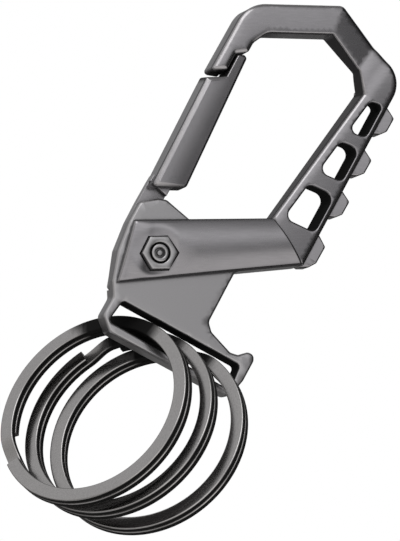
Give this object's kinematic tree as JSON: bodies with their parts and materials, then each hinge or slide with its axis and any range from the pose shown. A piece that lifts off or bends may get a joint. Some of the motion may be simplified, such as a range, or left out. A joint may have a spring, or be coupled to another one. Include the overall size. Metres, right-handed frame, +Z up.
{
  "type": "carabiner keychain",
  "caption": "Cast carabiner hook with an angular eye, a sprung inward-opening gate, grip teeth and a pinned ring plate that carries loose split rings for keys.",
  "frame": {"origin": "lowest point of the apex on the top bar's underside, where the hook hangs, at mid thickness", "axes": "+Z up along the hook towards the top bar, +X from the gate to the right bar, +Y from the nut's side to the screw head's side, so the nut faces -Y"},
  "size_m": [0.0346, 0.0292, 0.1016],
  "materials": {
    "gunmetal_frame": "satin gunmetal plating with fine brushing",
    "gunmetal_gate": "satin gunmetal plating",
    "gunmetal_plate": "fine matt gunmetal plating",
    "dark_steel": "smooth dark nickel",
    "spring_steel": "drawn wire",
    "ring_steel": "satin dark nickel on flat wire"
  },
  "bodies": {
    "hook": {"frame": "gunmetal_frame", "ring_plate": "gunmetal_plate", "pivot_screw": "dark_steel", "pivot_nut": "dark_steel", "gate_spring": "spring_steel"},
    "gate": {"gate": "gunmetal_gate"},
    "ring_1": {"split_ring_1": "ring_steel"},
    "ring_2": {"split_ring_2": "ring_steel"},
    "ring_3": {"split_ring_3": "ring_steel"}
  },
  "joints": [
    {"name": "gate_hinge", "type": "hinge", "parent": "hook", "child": "gate", "pos_m": [-0.00853, 0, -0.05075], "axis": [0, 1, 0], "range_deg": [0, 28], "stiffness_Nm_per_rad": 0.06, "springref_deg": -34.38, "deforming": ["gate_spring"]},
    {"name": "ring_1_turn", "type": "hinge", "parent": "hook", "child": "ring_1", "pos_m": [-0.00434, -0.00024, -0.07871], "axis": [-0.7877, -0.6155, 0.0262], "continuous": true},
    {"name": "ring_2_turn", "type": "hinge", "parent": "hook", "child": "ring_2", "pos_m": [0.00048, -0.00049, -0.07846], "axis": [-0.7869, -0.6148, 0.0523], "continuous": true},
    {"name": "ring_3_turn", "type": "hinge", "parent": "hook", "child": "ring_3", "pos_m": [0.0059, -0.00054, -0.07816], "axis": [-0.7327, -0.6785, 0.0523], "continuous": true}
  ]
}
